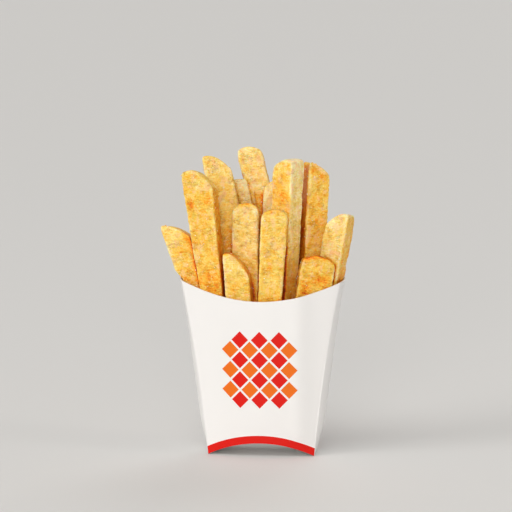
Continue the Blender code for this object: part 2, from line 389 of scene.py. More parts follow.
@dataclass(frozen=True)
class PotatoFinish:
    """Fried potato: cream where it is thin, golden on its sides, orange where it caught."""

    # The darkest stops also colour the painted shade in the crevices between fries.
    brown_and_shade_stops: tuple[tuple[float, Colour], ...] = (
        (0.0, srgb(255, 238, 184)),
        (0.24, srgb(253, 220, 128)),
        (0.46, srgb(247, 198, 78)),
        (0.64, srgb(245, 170, 38)),
        (0.80, srgb(238, 134, 16)),
        (0.92, srgb(212, 88, 6)),
        (1.0, srgb(136, 42, 8)),
    )
    rosy: Colour = srgb(254, 206, 150)
    olive: Colour = srgb(218, 182, 60)
    wrinkle: Colour = srgb(206, 134, 30)

    def material(self) -> bpy.types.Material:
        """Its material; how brown each spot is comes with the mesh."""
        paint = Paint("fried_potato")
        speckle = paint.noise(0.7, 3.0)
        ripple = paint.noise(1.9, 2.0, (1, 1, 2.4))
        patch = paint.noise(3.0, 3.0, (1, 1, 0.8))
        # The mesh's number mixes how brown the fry is with painted shade in crevices and lower down.
        browned_and_shaded = paint.attribute("toast_and_shade")
        mottle = (speckle - 0.5) * 0.7 + (patch - 0.5) * 0.6 + (ripple - 0.5) * 0.6
        toast_and_shade = browned_and_shaded + mottle * (1 - browned_and_shaded.share(0.6, 1.0) * 0.65)
        colour = paint.ramp(toast_and_shade, self.brown_and_shade_stops)
        rosy = paint.noise(2.6, 2.0, (1, 1, 0.7)).share(0.50, 0.66)
        colour = paint.mix(rosy * (1 - toast_and_shade.share(0.42, 0.66)) * 0.72, colour, self.rosy)
        olive = paint.noise(3.6, 2.0, (1.3, 1.3, 0.8)).share(0.52, 0.68)
        colour = paint.mix((olive * 0.32 + paint.attribute("olive") * 0.4) * (1 - toast_and_shade.share(0.5, 0.8)),
                           colour, self.olive)
        lines = paint.noise(2.2, 2.0, (1, 1, 2.6))
        crease = 1 - abs(lines - 0.5).share(0.0, 0.03)
        crease = crease * paint.noise(3.4, 1.0).share(0.46, 0.62)
        colour = paint.mix(crease * 0.5, colour, self.wrinkle)
        paint.set(
            Base_Color=colour, Roughness=0.42 + (patch - 0.5) * 0.3, Specular_IOR_Level=0.26,
            Subsurface_Weight=0.3, Subsurface_Radius=(1.0, 0.4, 0.1), Subsurface_Scale=1.8 * MM)
        paint.relief(speckle + paint.noise(0.4, 2.0) * 0.4 + ripple * 1.6 - crease * 0.6, 0.30)
        return paint.material


@dataclass(frozen=True)
class GrainFinish:
    """A finish for loose grains."""

    name: str
    colour: Colour
    other: Colour
    roughness: float

    def material(self) -> bpy.types.Material:
        """The grains' material, a little different from grain to grain."""
        paint = Paint(self.name)
        paint.set(Base_Color=paint.mix(paint.noise(1.5, 1.0).share(0.35, 0.65), self.colour, self.other))
        paint.set(Roughness=self.roughness)
        return paint.material


# Meshes

def show(name: str, data: Any) -> bpy.types.Object:
    """Put a mesh, light or camera in the scene, as an object at the origin."""
    thing = bpy.data.objects.new(name, data)
    bpy.context.scene.collection.objects.link(thing)
    return thing


def new_piece(name: str, vertices: np.ndarray, faces: Iterable[Sequence[int]]) -> bpy.types.Object:
    """Make an object at the origin, with its place in its mesh.

    Args:
        name: The piece's name.
        vertices: Positions in metres.
        faces: Corners of each face.

    Returns:
        The object.
    """
    mesh = bpy.data.meshes.new(name)
    mesh.from_pydata(vertices.tolist(), [], faces)
    mesh.update()
    return show(name, mesh)


def set_numbers(mesh: bpy.types.Mesh, name: str, values: np.ndarray) -> None:
    """Store one number on each vertex."""
    layer = mesh.attributes.new(name, "FLOAT", "POINT")
    layer.data.foreach_set("value", values.astype(np.float32))


def plain_mesh(thing: bpy.types.Object) -> None:
    """Turn an object's modifiers into mesh."""
    graph = bpy.context.evaluated_depsgraph_get()
    made = bpy.data.meshes.new_from_object(thing.evaluated_get(graph))
    old = thing.data
    thing.modifiers.clear()
    thing.data = made
    bpy.data.meshes.remove(old)


def coordinates(mesh: bpy.types.Mesh) -> np.ndarray:
    """Positions of a mesh's vertices, one row each."""
    flat = np.empty(len(mesh.vertices) * 3, np.float32)
    mesh.vertices.foreach_get("co", flat)
    return flat.reshape(-1, 3).astype(float)


# Carton

class Panel(Enum):
    """The carton's four upright panels, in the order in which they are folded round."""

    FRONT = 0
    RIGHT = 1
    BACK = 2
    LEFT = 3


@dataclass(frozen=True)
class CartonForm:
    """Sizes of the carton in millimetres, about its own upright axis."""

    corner_height: float = 85.0
    top_half_width: float = 38.0
    bottom_half_width: float = 25.7
    crease_inward_bow: float = 1.2
    top_half_depth: float = 12.0
    bottom_half_depth: float = 9.0
    face_swell_top: float = 8.0
    face_swell_bottom: float = 5.0
    side_swell_top: float = 1.5
    side_swell_middle: float = 2.7
    front_rim_dip: float = 8.6
    back_rim_rise: float = 8.5
    bottom_arch: float = 6.8
    board: float = 0.5

    def crease_half_width(self, share: Any) -> Any:
        """Half of the width between the creases at a share of the height."""
        straight = self.bottom_half_width + (self.top_half_width - self.bottom_half_width) * share
        return straight - self.crease_inward_bow * 4 * share * (1 - share)

    def side_swell(self, share: Any) -> Any:
        """How far a side panel stands out at its middle."""
        opening = np.sin(math.pi / 2 * np.minimum(1, share / 0.25))
        upper = np.maximum(0, 2 * share - 1)
        return opening * (self.side_swell_middle + (self.side_swell_top - self.side_swell_middle) * upper)

    def half_depth(self, share: Any, across: Any = 1.0) -> Any:
        """Half of the depth, at a crease or further in across the front."""
        swell = self.face_swell_bottom + (self.face_swell_top - self.face_swell_bottom) * share
        straight = self.bottom_half_depth + (self.top_half_depth - self.bottom_half_depth) * share
        return straight + swell * (1 - across * across)

    def half_width(self, share: Any, along: Any = 1.0) -> Any:
        """Half of the width, at a crease or further in along a side."""
        return self.crease_half_width(share) + self.side_swell(share) * (1 - along * along)

    def bottom_edge(self, across: Any) -> Any:
        """Height of the bottom's arch."""
        return self.bottom_arch * (1 - across * across)

    def front_rim(self, across: Any) -> Any:
        """Height of the front panel's upper edge."""
        return self.corner_height - self.front_rim_dip * (1 - across * across)

    def back_rim(self, across: Any) -> Any:
        """Height of the back panel's upper edge."""
        return self.corner_height + self.back_rim_rise * (1 - across * across)

    def on_panel(self, panel: Panel, place: np.ndarray, up: np.ndarray) -> np.ndarray:
        """Points on an upright panel.

        Args:
            panel: Which panel.
            place: From -1 to 1, to the right on front and back, to the back on the sides.
            up: From 0 at the lower edge to 1 at the upper one.

        Returns:
            Positions in millimetres, one row each.
        """
        if panel in (Panel.FRONT, Panel.BACK):
            side = -1 if panel is Panel.FRONT else 1
            top = self.front_rim(place) if panel is Panel.FRONT else self.back_rim(place)
            low = self.bottom_edge(place)
            height = low + (top - low) * up
            share = height / self.corner_height
            return np.stack((place * self.half_width(share), side * self.half_depth(share, place), height), 1)
        side = 1 if panel is Panel.RIGHT else -1
        height = self.corner_height * up
        return np.stack((side * self.half_width(up, place), place * self.half_depth(up), height), 1)

    def press_inside(self, points: np.ndarray, inset: float) -> np.ndarray:
        """Hold points below the rim on the inner side of the board.

        Args:
            points: Positions in millimetres.
            inset: Distance kept to the board's outer side.

        Returns:
            The moved positions.
        """
        moved = points.copy()
        across = np.clip(moved[:, 0] / self.top_half_width, -1, 1)
        rim = np.where(moved[:, 1] < 0, self.front_rim(across), self.back_rim(across))
        freed = np.maximum(0, moved[:, 2] - rim - 0.4)
        share = np.minimum(1, moved[:, 2] / self.corner_height)
        along = np.clip(moved[:, 1] / self.half_depth(share), -1, 1)
        widest = self.half_width(share, along) - inset + freed
        moved[:, 0] = np.clip(moved[:, 0], -widest, widest)
        deepest = self.half_depth(share, np.clip(moved[:, 0] / self.half_width(share), -1, 1)) - inset + freed
        moved[:, 1] = np.clip(moved[:, 1], -deepest, deepest)
        return moved


@dataclass
class Carton:
    """The folded and glued carton."""

    form: CartonForm
    axis: Vector
    finish: BoardFinish = BoardFinish()
    face_cells: int = 84
    side_cells: int = 20
    height_cells: int = 64
    crease_radius: float = 0.5
    unevenness: float = 0.14
    wave_height: float = 0.85
    wave_depth: float = 0.34
    wave_width: float = 5.2
    wave_ridge: float = 18.5
    wave_trough: float = 27.5
    lap_height: float = 0.38
    lap_edge: float = 0.55
    inner_slot: int = 2
    cut_slot: int = 4
    slots: int = 6
    sharp_angle: float = 38.0

    def _places_across(self) -> list[float]:
        """Places of the columns of points on the front and back, two of them close to the creases."""
        near = self.crease_radius / self.form.top_half_width
        return sorted([*np.linspace(-1, 1, self.face_cells + 1).tolist(), near - 1, 1 - near])

    def _places_along(self) -> list[float]:
        """Places of the columns on a side, also close together at the lap's edge."""
        near = self.crease_radius / self.form.top_half_depth
        even = np.linspace(-1, 1, self.side_cells + 1).tolist()
        return sorted([*even, near - 1, 1 - near, self.lap_edge - 0.02, self.lap_edge + 0.02])

    def _columns(self) -> list[tuple[Panel, float]]:
        """Places of the columns of points round the carton, each crease once."""
        face = self._places_across()
        side = self._places_along()
        columns = [(Panel.FRONT, place) for place in face[:-1]]
        columns += [(Panel.RIGHT, place) for place in side[:-1]]
        columns += [(Panel.BACK, place) for place in face[:0:-1]]
        columns += [(Panel.LEFT, place) for place in side[:0:-1]]
        return columns

    def _uneven(self, panel: Panel, place: float, points: np.ndarray) -> np.ndarray:
        """Let a column of points stand out or in a little, less towards the creases."""
        calm = 1 - place ** 4
        cells = points / np.array((13.0, 13.0, 24.0))
        out = self.unevenness * layered_noise(cells, 11, 2) * calm
        if panel is Panel.FRONT:
            ridge = np.exp(-((points[:, 0] - self.wave_ridge) / self.wave_width) ** 2)
            trough = np.exp(-((points[:, 0] - self.wave_trough) / self.wave_width) ** 2)
            out = out + self.wave_height * ridge - self.wave_depth * trough
        if panel is Panel.LEFT and place < self.lap_edge:
            out = out + self.lap_height * smooth_share(np.full(len(points), place), -1.0, 0.0)
        moved = points.copy()
        axis = 1 if panel in (Panel.FRONT, Panel.BACK) else 0
        sign = 1 if panel in (Panel.RIGHT, Panel.BACK) else -1
        moved[:, axis] += sign * out * smooth_share(points[:, 2], 0.0, 12.0)
        return moved

    def _outer_side(self) -> bmesh.types.BMesh:
        """The board's outer side: four panels with rounded creases, and the arched bottom."""
        up = np.linspace(0, 1, self.height_cells + 1)
        mesh = bmesh.new()
        columns = self._columns()
        walls = []
        for panel, place in columns:
            points = self.form.on_panel(panel, np.full(len(up), place), up)
            walls.append(self._uneven(panel, place, points))
        for number, (_, place) in enumerate(columns):
            if abs(place) == 1:
                beside = walls[number - 1] + walls[(number + 1) % len(walls)]
                walls[number] = 0.5 * walls[number] + 0.25 * beside
        rings = [[mesh.verts.new(point) for point in wall] for wall in walls]
        for number, column in enumerate(rings):
            following = rings[(number + 1) % len(rings)]
            for row in range(self.height_cells):
                corners = (column[row], following[row], following[row + 1], column[row + 1])
                face = mesh.faces.new(corners)
                face.material_index = 0 if columns[number][0] in (Panel.FRONT, Panel.BACK) else 1
        self._add_bottom(mesh, [ring[0] for ring in rings])
        return mesh

    def _add_bottom(self, mesh: bmesh.types.BMesh, feet: list[bmesh.types.BMVert]) -> None:
        """Join the panels' lower edges by the arched bottom.

        Args:
            mesh: The mesh that holds the panels.
            feet: The lowest point of each column, round the carton from the front's left end.
        """
        face = len(self._places_across()) - 1
        side = len(self._places_along()) - 1
        front = feet[:face + 1]
        right = feet[face:face + side + 1]
        back = feet[face + side:2 * face + side + 1][::-1]
        left = [feet[0], *feet[:2 * face + side - 1:-1]]
        rows = [front]
        for number, along in enumerate(self._places_along()[1:-1], start=1):
            between = [mesh.verts.new(low.co.lerp(high.co, (along + 1) / 2))
                       for low, high in zip(front, back)]
            rows.append([left[number], *between[1:-1], right[number]])
        rows.append(back)
        for near, far in zip(rows, rows[1:]):
            for number in range(face):
                corners = (near[number], far[number], far[number + 1], near[number + 1])
                mesh.faces.new(corners).material_index = 1

    def build(self) -> bpy.types.Object:
        """Make the carton's piece.

        Returns:
            The finished object.
        """
        outer = self._outer_side()
        bmesh.ops.recalc_face_normals(outer, faces=outer.faces)
        data = bpy.data.meshes.new("carton_board")
        outer.to_mesh(data)
        outer.free()
        piece = show("carton_board", data)
        board = piece.modifiers.new("board", "SOLIDIFY")
        board.thickness = self.form.board
        board.offset = -1
        board.use_even_offset = True
        board.material_offset = self.inner_slot
        board.material_offset_rim = self.cut_slot
        for _ in range(self.slots):
            data.materials.append(None)
        plain_mesh(piece)
        self._finish(piece)
        return piece

    def _finish(self, piece: bpy.types.Object) -> None:
        """Place the piece, and give it its print and its materials."""
        mesh = piece.data
        kinds = np.zeros(len(mesh.polygons), np.int32)
        mesh.polygons.foreach_get("material_index", kinds)
        inner = np.where(kinds >= self.inner_slot, 2, kinds)
        kinds = np.where(kinds >= self.cut_slot, 3, inner).astype(np.int32)
        mesh.materials.clear()
        finish = self.finish
        for material in (finish.printed(), finish.plain(), finish.inside(), finish.cut_edge()):
            mesh.materials.append(material)
        mesh.polygons.foreach_set("material_index", kinds)

        points = coordinates(mesh)
        share = points[:, 2] / self.form.corner_height
        across = points[:, 0] / self.form.crease_half_width(share)
        set_numbers(mesh, "print_across", points[:, 0])
        set_numbers(mesh, "print_up", points[:, 2])
        set_numbers(mesh, "print_above_edge", points[:, 2] - self.form.bottom_edge(across))
        mesh.transform(Matrix.Translation(self.axis) @ Matrix.Scale(MM, 4))
        mesh.shade_smooth()
        mesh.set_sharp_from_angle(angle=math.radians(self.sharp_angle))


# Fries

# Spots are partly the fry's own colour and partly painted shade: the wide ones low down stand for shade
# between fries.
@dataclass(frozen=True)
class Spot:
    """A browner or paler place on a fry's front, in millimetres from its middle line and its tip."""

    across: float
    below_tip: float
    radius: float
    amount: float


@dataclass(frozen=True)
class Look:
    """How brown a fry is, from 0, cream, to 1, dark brown.

    The rim, the edges and the front right-hand edge add to the side that they lie on,
    and less than 0 makes them paler. The front right-hand edge's value is painted shade,
    a brown line where the fry meets the one beside it, and sides that lie in shade were
    set browner, so the side values hold painted shade as well as the fry's own colour.
    """

    front: float = 0.40
    right: float = 0.50
    left: float = 0.46
    back: float = 0.46
    rim: float = -0.16
    edge: float = -0.36
    end: float = 0.48
    olive: float = 0.0
    seam: float = 0.0
    wrinkles: float = 0.35
    spots: tuple[Spot, ...] = ()


@dataclass(frozen=True)
class Fry:
    """One fry: millimetres about the carton's axis, degrees, and shares of its own section."""

    rim_x: float
    rim_y: float
    tip_x: float
    tip_y: float
    tip_z: float
    width: float = 12.5
    thickness: float = 9.5
    turn: float = 0.0
    slant: float = 0.0
    rake: float = 0.0
    bow: float = 0.0
    dome: float = 2.0
    tip_share: float = 0.84
    taper: float = 0.0
    look: Look = Look()


FRONT_ROW = (
    Fry(-22.8, -8.8, -29.9, -11.5, 137.4, width=15.2, thickness=10, turn=-9, slant=-8.0, rake=-2.5, dome=4.4,
        taper=0.38, tip_share=0.95,
        # Its right side is set browner where it lies in shade: painted shade.
        look=Look(front=0.48, right=0.68, left=0.34, olive=0.3, wrinkles=1.3,
                  spots=(Spot(-4.6, 15, 2.0, 0.42), Spot(2.8, 14, 2.2, 0.16), Spot(0.5, 6, 3.0, -0.10)))),
    Fry(-10.3, -12.4, -11.6, -14.5, 97.3, width=12.2, thickness=9, turn=-1, slant=-11, rake=-1.5, dome=3.4,
        tip_share=0.93,
        look=Look(front=0.30, right=0.56, left=0.34, rim=0.30, end=0.62, wrinkles=0.4)),
    Fry(5.0, -12.8, 7.4, -16.0, 120.6, width=13.0, thickness=9.5, turn=2, slant=0.6, rake=-1.5, dome=2.4,
        taper=0.2, tip_share=0.92,
        look=Look(front=0.43, right=0.62, rim=0.24, olive=0.5, wrinkles=0.7,
                  spots=(Spot(0.5, 34, 9.0, -0.18),))),
    Fry(25.0, -8.9, 27.8, -11.0, 97.7, width=16.4, thickness=8.5, turn=10, slant=-0.5, rake=-2, dome=2.8,
        tip_share=0.96,
        look=Look(front=0.47, right=0.5, rim=0.6, end=0.8, olive=0.8, wrinkles=2.4)),
)
MIDDLE_ROW = (
    Fry(-31.8, -3.6, -41.8, -3.4, 109.4, width=12.8, thickness=10, turn=-6, slant=-8.5, rake=-2, bow=0.3,
        tip_share=0.95,
        look=Look(front=0.38, seam=0.58, spots=(Spot(0.4, 12, 2.6, 0.26), Spot(-1.0, 22, 3.0, 0.12)))),
    Fry(-7.9, -3.4, -7.8, -5.0, 122.0, width=12.8, thickness=8.5, turn=2, slant=0.4, rake=-1.5, dome=2.8,
        tip_share=0.92,
        look=Look(front=0.29, left=0.38, rim=0.36, wrinkles=1.0)),
    Fry(9.5, -1.2, 12.7, -2.0, 142.6, width=11.4, thickness=10.6, turn=-31, slant=3, rake=0, dome=1.7,
        tip_share=0.94,
        look=Look(front=0.46, right=0.17, end=0.2,
                  # The wide spot low on the right side is painted shade, where that side lies in shade
                  # between fries.
                  spots=(Spot(1.0, 18, 2.6, 0.14), Spot(5.7, 60, 24.0, 0.19)))),
    Fry(31.4, -1.4, 37.6, 0.2, 115.8, width=11.2, thickness=10.5, turn=-18, slant=6.5, rake=-1, dome=2.2,
        tip_share=0.93,
        look=Look(front=0.28, right=0.54, end=0.1)),
)
BACK_ROW = (
    Fry(-10.4, 4.6, -23.7, 7.0, 141.9, width=13.2, thickness=8.5, turn=8, slant=-8.6, rake=-1.5, dome=3.0,
        tip_share=0.94,
        # The wide spot low down is painted shade, where the fry lies in shade behind the front row.
        look=Look(front=0.35, left=0.3, right=0.5, spots=(Spot(3.0, 44, 13.0, 0.24),))),
    Fry(-2.0, 9.6, -15.0, 14.0, 130.4, width=12.0, thickness=7, slant=-1.6, rake=-1.5, dome=0.6,
        tip_share=0.97, look=Look(front=0.13)),
    Fry(8.0, 13.6, -8.9, 18.0, 146.0, width=12.2, thickness=8.5, turn=4, slant=-2, rake=-1, dome=1.9,
        tip_share=0.9,
        look=Look(front=0.30, spots=(Spot(0.0, 24, 9.0, -0.16),))),
    Fry(5.0, 7.2, 5.8, 7.6, 131.4, width=12.0, thickness=7, turn=-4, slant=2, rake=-1,
        look=Look(front=0.12, left=0.4, rim=0.34)),
    Fry(9.2, 10.4, -1.5, 13.6, 125.6, width=9.0, thickness=7, turn=5, slant=-2, rake=-1, dome=0.4,
        tip_share=0.97,
        look=Look(front=0.62, left=0.8, end=0.3, edge=0.0)),
    Fry(22.2, 8.4, 25.1, 8.4, 138.5, width=11.0, thickness=10.2, turn=23, slant=-6, rake=-1, dome=1.3,
        tip_share=0.96,
        # Its left side is set browner where it lies in shade: painted shade.
        look=Look(front=0.48, left=0.74, right=0.3,
                  spots=(Spot(2.0, 5, 2.4, 0.24), Spot(-3.5, 3, 2.4, 0.30)))),
)
HIDDEN_ROW = (
    Fry(-25.0, 8.8, -28.0, 13.0, 110, width=11.5, thickness=9, turn=14, slant=3, rake=-3),
    Fry(-16.5, 13.2, -21.0, 17.5, 122, width=12.0, thickness=8.5, turn=4, slant=-2, rake=-2),
    Fry(-5.0, 15.4, -8.0, 20.0, 114, width=11.5, thickness=6.5, slant=2, rake=-2, look=Look(back=0.36)),
    Fry(18.4, 13.0, 15.5, 18.0, 120, width=11.0, thickness=8, turn=-4, slant=3, rake=-2, look=Look(back=0.4)),
    Fry(29.0, 10.0, 31.5, 14.5, 105, width=11.0, thickness=7, turn=-14, slant=-3, rake=-2),
)
GAP_LOOK = Look(front=0.44, right=0.54, left=0.54, back=0.6, edge=-0.08)
GAP_ROW = (
    Fry(-19.0, 1.6, -20.0, 2.0, 92, width=8.5, thickness=8.5, turn=20, slant=2, look=GAP_LOOK),
    Fry(-33.0, 2.6, -34.0, 3.4, 88, width=7.5, thickness=6.5, turn=-14, slant=2, look=GAP_LOOK),
    Fry(20.6, -0.8, 21.0, -1.0, 90, width=8.5, thickness=7.5, turn=10, slant=-2, look=GAP_LOOK),
    Fry(1.0, -3.0, 1.0, -3.2, 91, width=7.5, thickness=9.0, turn=-8, slant=1, look=GAP_LOOK),
    Fry(33.0, 4.4, 34.0, 4.8, 86, width=6.5, thickness=7.0, turn=16, slant=-1, look=GAP_LOOK),
    Fry(-33.0, 7.4, -36.0, 9.0, 96, width=7.5, thickness=7.0, turn=16, slant=2, look=GAP_LOOK),
    Fry(33.9, 8.4, 34.4, 8.9, 88, width=6.8, thickness=6.5, turn=-20, slant=-2, look=GAP_LOOK),
)
LONG_FRIES = FRONT_ROW + MIDDLE_ROW + BACK_ROW + HIDDEN_ROW
ROWS = {"fries_front": FRONT_ROW, "fries_middle": MIDDLE_ROW, "fries_back": BACK_ROW,
        "fries_behind": HIDDEN_ROW, "fries_between": GAP_ROW}


@dataclass(frozen=True)
class Wave:
    """One layer of the skin's unevenness: height and patch sizes in millimetres."""

    height: float
    cell: tuple[float, float, float]
    seed: int
    layers: int = 1


SKIN_WAVES = (
    Wave(0.34, (8.0, 8.0, 11.0), 1, 2),
    Wave(0.15, (2.5, 2.5, 2.5), 3, 2),
    Wave(0.13, (4.5, 4.5, 1.6), 7),
    Wave(0.035, (0.8, 0.8, 0.8), 5),
)


@dataclass
class Surface:
    """Points and faces of a closed body, with how brown and how olive each point is."""

    points: np.ndarray
    faces: list[tuple[int, ...]]
    # How brown each point is, with the painted shade in crevices, lower down and along edges added in.
    toast_and_shade: np.ndarray
    olive: np.ndarray


@dataclass(frozen=True)
class FryShaper:
    """Turns a fry's sizes into its fine surface; lengths and heights in millimetres."""

    form: CartonForm
    foot_height: float = 58.0
    rim_height: float = 80.0
    inset: float = 0.95
    corner: float = 1.15
    end_rise: float = 1.5
    end_across: float = 1.0
    end_deep: float = 0.16
    cut_length: float = 16.0
    tip_length: float = 5.0
    step: float = 0.55
    arc_points: int = 6
    hollow: float = 0.22
    fold_depth: float = 0.24
    # Folds: browner in their grooves, partly the skin's own colour and partly painted shade.
    fold_browning_and_shade: float = 0.09
    # Painted shade in the crevices between fries: its reach, where it is strongest, how it fades high up, and
    # its cap.
    crevice: float = 1.2
    contact: float = 0.7
    contact_share: float = 0.5
    crevice_painted_shade: float = 0.6
    crevice_low: float = 98.0
    crevice_high: float = 128.0
    crevice_least: float = 0.4
    crevice_shade_cap: float = 0.95
    # Painted shade: browner lower down, towards the carton's rim.
    rim_painted_shade: float = 0.14
    rim_shade_low: float = 79.0
    rim_shade_high: float = 100.0
    seam_width: float = 2.3

    def _section(self, half_x: float, half_y: float) -> tuple[np.ndarray, np.ndarray]:
        """Points and outward directions of a rounded rectangle, anticlockwise from its right side."""
        radius = min(self.corner, half_x * 0.6, half_y * 0.6)
        flat_x = half_x - radius
        flat_y = half_y - radius
        points = []
        outward = []
        corners = ((1, 1, 0), (-1, 1, 1), (-1, -1, 2), (1, -1, 3))
        flats = (((half_x, -flat_y), (half_x, flat_y), (1, 0)),
                 ((flat_x, half_y), (-flat_x, half_y), (0, 1)),
                 ((-half_x, flat_y), (-half_x, -flat_y), (-1, 0)),
                 ((-flat_x, -half_y), (flat_x, -half_y), (0, -1)))
        for (side_x, side_y, quarter), (start, end, direction) in zip(corners, flats):
            count = max(4, round(math.dist(start, end) / self.step))
            for share in (np.arange(count - 1) + 1) / count:
                points.append([start[i] + (end[i] - start[i]) * share for i in (0, 1)])
                outward.append(direction)
            for turn in np.linspace(0, math.pi / 2, self.arc_points):
                angle = quarter * math.pi / 2 + turn
                direction_here = (math.cos(angle), math.sin(angle))
                points.append((side_x * flat_x + radius * direction_here[0],
                               side_y * flat_y + radius * direction_here[1]))
                outward.append(direction_here)
        return np.array(points), np.array(outward)

    def _rings(self, length: float) -> list[tuple[float, float, float]]:
        """Height, share of the way round the end, and share of the section, ring by ring."""
        count = round((length - self.end_rise) / self.step)
        rings = [(height, 0.0, 1.0) for height in np.linspace(0, length - self.end_rise, count)]
        for angle in np.linspace(0, math.pi / 2, 8)[1:]:
            rings.append((length - self.end_rise * (1 - math.sin(angle)), angle, 1.0))
        for share in np.linspace(1, 0.06, 8)[1:]:
            rings.append((length, math.pi / 2, share))
        return rings

    def _ends(self, fry: Fry) -> tuple[np.ndarray, np.ndarray, float]:
        """Foot, tip and length of a fry."""
        rim = np.array((fry.rim_x, fry.rim_y, self.rim_height))
        tip = np.array((fry.tip_x, fry.tip_y, fry.tip_z))
        foot = rim + (tip - rim) * (self.foot_height - rim[2]) / (tip[2] - rim[2])
        return foot, tip, float(np.linalg.norm(tip - foot))

    def nearness(self, points: np.ndarray, other: Fry) -> np.ndarray:
        """How close points lie to another fry: 0 clear of it, more in the crevice, most where they touch."""
        foot, tip, length = self._ends(other)
        axes = self._axes(foot, tip)
        local = (points - foot) @ axes.T
        angle = math.radians(other.turn)
        across = local[:, 0] * math.cos(angle) + local[:, 1] * math.sin(angle)
        deep = local[:, 1] * math.cos(angle) - local[:, 0] * math.sin(angle)
        half = other.width / 2 * (1 - other.taper * (1 - np.clip(local[:, 2] / length, 0, 1)))
        right = np.clip(across / other.width, -0.5, 0.5)
        top = length + other.slant * right - other.dome * 4 * right * right - self.end_rise
        gaps = (np.abs(across) - half, np.abs(deep) - other.thickness / 2, local[:, 2] - top)
        apart = np.sqrt(sum(np.maximum(0, gap) ** 2 for gap in gaps))
        touching = np.exp(-(apart / self.contact) ** 2)
        return np.exp(-(apart / self.crevice) ** 2) + self.contact_share * touching

    def shape(self, number: int, fry: Fry, others: Sequence[Fry]) -> Surface:
        """Build one fry.

        Args:
            number: Its place in the list, which seeds its unevenness.
            fry: Its sizes and look.
            others: The fries whose nearness adds painted shade to it, in the crevices next to them and most
                where they touch it.

        Returns:
            Its closed surface, about the carton's axis.
        """
        foot, tip, length = self._ends(fry)
        half_x = fry.width / 2
        half_y = fry.thickness / 2
        outline, outward = self._section(half_x, half_y)
        rings = self._rings(length)
        around = len(outline)

        points = []
        normals = []
        inset = np.array((self.end_across, self.end_deep * fry.thickness))
        for height, tilt, share in rings:
            flat = (outline - outward * inset * (1 - math.cos(tilt))) * share
            points.append(np.column_stack((flat, np.full(around, height))))
            normals.append(np.column_stack((outward * math.cos(tilt), np.full(around, math.sin(tilt)))))
        body = np.concatenate(points)
        normal = np.concatenate(normals)
        base = np.tile(np.column_stack((outline, np.zeros(around))), (len(rings), 1))

        toast_and_shade, olive = self._colour(number, fry, body, normal, base, length)
        body = body + normal * self._unevenness(number, fry, body, normal, half_x, half_y)[:, None]
        body = self._bend(fry, body, length)
        body = self._place(fry, body, foot, tip)
        body = self.form.press_inside(body, self.inset + number * 0.012)

        height = body[:, 2]
        # Painted shade: browner lower down, towards the carton's rim.
        at_rim = smooth_share(-height, -self.rim_shade_high, -self.rim_shade_low)
        toast_and_shade = toast_and_shade + self.rim_painted_shade * at_rim
        # Painted shade: browner and darker close to other fries, in the crevices and most where they touch,
        # less high up.
        close = np.zeros(len(body))
        for other in others:
            if other is not fry:
                close = np.maximum(close, self.nearness(body, other))
        low = smooth_share(-height, -self.crevice_high, -self.crevice_low)
        low = self.crevice_least + (1 - self.crevice_least) * low
        toast_and_shade = np.minimum(toast_and_shade + self.crevice_painted_shade * close * low, np.maximum(toast_and_shade, self.crevice_shade_cap))
        faces = self._faces(len(rings), around, 0)
        return Surface(body, faces, toast_and_shade, olive)

    @staticmethod
    def _faces(rings: int, around: int, start: int) -> list[tuple[int, ...]]:
        """Faces between the rings, with both ends closed."""
        faces = []
        for ring in range(rings - 1):
            low = start + ring * around
            for place in range(around):
                following = (place + 1) % around
                faces.append((low + place, low + following, low + around + following, low + around + place))
        faces.append(tuple(start + place for place in reversed(range(around))))
        top = start + (rings - 1) * around
        faces.append(tuple(top + place for place in range(around)))
        return faces

    def _unevenness(self, number: int, fry: Fry, body: np.ndarray, normal: np.ndarray,
                    half_x: float, half_y: float) -> np.ndarray:
        """How far each point stands out."""
        seed = 100 + number * 10
        across = np.clip(np.abs(body[:, 0]) / half_x, 0, 1)
        depth = np.clip(np.abs(body[:, 1]) / half_y, 0, 1)
        face_hollow = (1 - across ** 2) * normal[:, 1] ** 2 + (1 - depth ** 2) * normal[:, 0] ** 2
        uneven_hollow = 0.6 + 0.7 * lattice_noise(body / 14.0, seed)
        out = -self.hollow * face_hollow * uneven_hollow
        for wave in SKIN_WAVES:
            out += wave.height * layered_noise(body / np.array(wave.cell), seed + wave.seed, wave.layers)
        corner = np.exp(-(((1 - across) * half_x) ** 2 + ((1 - depth) * half_y) ** 2) / 2.2)
        out += 0.30 * corner * layered_noise(body / 2.2, seed + 6, 2)
        out -= self.fold_depth * fry.look.wrinkles * self._folds(number, body)
        return out

    @staticmethod
    def _folds(number: int, body: np.ndarray) -> np.ndarray:
        """Slanting folds of the skin, from 0, clear of them, to 1, in a groove."""
        slope = np.array(((0.17, 0.0, 0.05), (0.0, 0.17, 0.0), (0.20, 0.12, 0.50)))
        bent = body + 0.8 * np.stack([lattice_noise(body / 4.0, number * 7 + axis) for axis in range(3)], 1)
        grooves = 1 - np.abs(lattice_noise(bent @ slope.T, 108 + number * 10)) * 3.4
        where = smooth_share(lattice_noise(body / 9.0, 109 + number * 10), -0.5, 0.4)
        return np.clip(grooves, 0, 1) ** 1.5 * where

